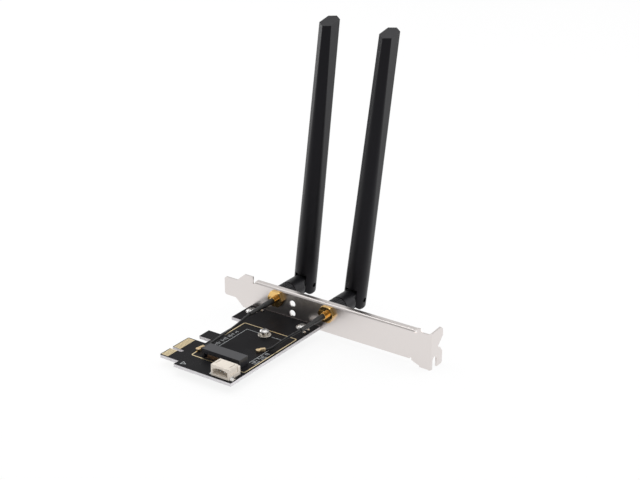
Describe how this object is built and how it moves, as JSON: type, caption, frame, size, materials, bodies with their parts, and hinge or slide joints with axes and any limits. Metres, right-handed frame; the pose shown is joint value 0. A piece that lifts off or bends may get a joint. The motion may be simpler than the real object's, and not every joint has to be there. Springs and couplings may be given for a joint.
{
  "type": "wireless network card",
  "caption": "Small expansion-slot board with a module socket and a cable header, carried on a bent sheet bracket with two folding stick antennas.",
  "frame": {"origin": "middle of the key notch, on the contact edge and at the middle of the board's thickness", "axes": "+X up the card to the bracket's screw tab, +Y out of the case to the antennas, +Z on the component side"},
  "size_m": [0.1201, 0.1001, 0.1508],
  "materials": {
    "board_mask": "black solder mask over glass laminate",
    "gold_plate": "thin gold plating",
    "white_print": "screen print",
    "tin_plate": "bright tin",
    "nickel_sheet": "bright nickel-plated steel sheet",
    "screw_steel": "nickel-plated screw steel",
    "socket_plastic": "dark heat-proof plastic",
    "contact_metal": "tinned copper alloy",
    "standoff_metal": "nickel-plated brass",
    "header_nylon": "natural nylon",
    "chip_ceramic": "fired ceramic",
    "shrink_tube": "black shrink tube",
    "coax_jacket": "black jacket",
    "white_insulator": "white fluoroplastic",
    "antenna_plastic": "fine-grained moulded plastic",
    "radiator_board": "glass laminate with copper"
  },
  "bodies": {
    "card": {"pcb": "board_mask", "edge_contacts": "gold_plate", "ground_trace": "gold_plate", "board_print": "white_print", "screw_lands": "tin_plate", "bracket": "nickel_sheet", "board_screws": "screw_steel", "m2_socket": "socket_plastic", "m2_socket_contacts": "contact_metal", "m2_standoff": "standoff_metal", "m2_screw": "screw_steel", "cable_header": "header_nylon", "header_pins": "tin_plate", "header_tabs": "tin_plate", "chip_capacitors": "chip_ceramic", "jack_washers": "gold_plate", "jack_nuts": "gold_plate", "left_jack": "gold_plate", "left_jack_insulator": "white_insulator", "left_jack_contact": "gold_plate", "left_shrink": "shrink_tube", "left_coax": "coax_jacket", "left_micro_plug": "gold_plate", "left_plug": "gold_plate", "left_plug_insulator": "white_insulator", "left_plug_pin": "gold_plate", "right_jack": "gold_plate", "right_jack_insulator": "white_insulator", "right_jack_contact": "gold_plate", "right_shrink": "shrink_tube", "right_coax": "coax_jacket", "right_micro_plug": "gold_plate", "right_plug": "gold_plate", "right_plug_insulator": "white_insulator", "right_plug_pin": "gold_plate"},
    "left_collar_body": {"left_collar": "antenna_plastic", "left_coupling_nut": "gold_plate"},
    "left_elbow_body": {"left_elbow": "antenna_plastic"},
    "left_blade_body": {"left_blade": "antenna_plastic", "left_radiator": "radiator_board", "left_feed": "coax_jacket"},
    "right_collar_body": {"right_collar": "antenna_plastic", "right_coupling_nut": "gold_plate"},
    "right_elbow_body": {"right_elbow": "antenna_plastic"},
    "right_blade_body": {"right_blade": "antenna_plastic", "right_radiator": "radiator_board", "right_feed": "coax_jacket"}
  },
  "joints": [
    {"name": "left_collar_turn", "type": "hinge", "parent": "card", "child": "left_collar_body", "pos_m": [0.0186, 0.065, 0.00879], "axis": [0, 1, 0], "continuous": true},
    {"name": "left_swivel", "type": "hinge", "parent": "card", "child": "left_elbow_body", "pos_m": [0.0186, 0.072, 0.00879], "axis": [0, 1, 0], "range_deg": [-180, 4]},
    {"name": "left_fold", "type": "hinge", "parent": "left_elbow_body", "child": "left_blade_body", "pos_m": [0.0186, 0.0822, 0.00879], "axis": [0.9947, 0, -0.1028], "range_deg": [-90, 0]},
    {"name": "right_collar_turn", "type": "hinge", "parent": "card", "child": "right_collar_body", "pos_m": [0.0486, 0.065, 0.00879], "axis": [0, 1, 0], "continuous": true},
    {"name": "right_swivel", "type": "hinge", "parent": "card", "child": "right_elbow_body", "pos_m": [0.0486, 0.072, 0.00879], "axis": [0, 1, 0], "range_deg": [-4, 180]},
    {"name": "right_fold", "type": "hinge", "parent": "right_elbow_body", "child": "right_blade_body", "pos_m": [0.0486, 0.0822, 0.00879], "axis": [0.9923, 0, -0.1236], "range_deg": [-90, 0]}
  ]
}
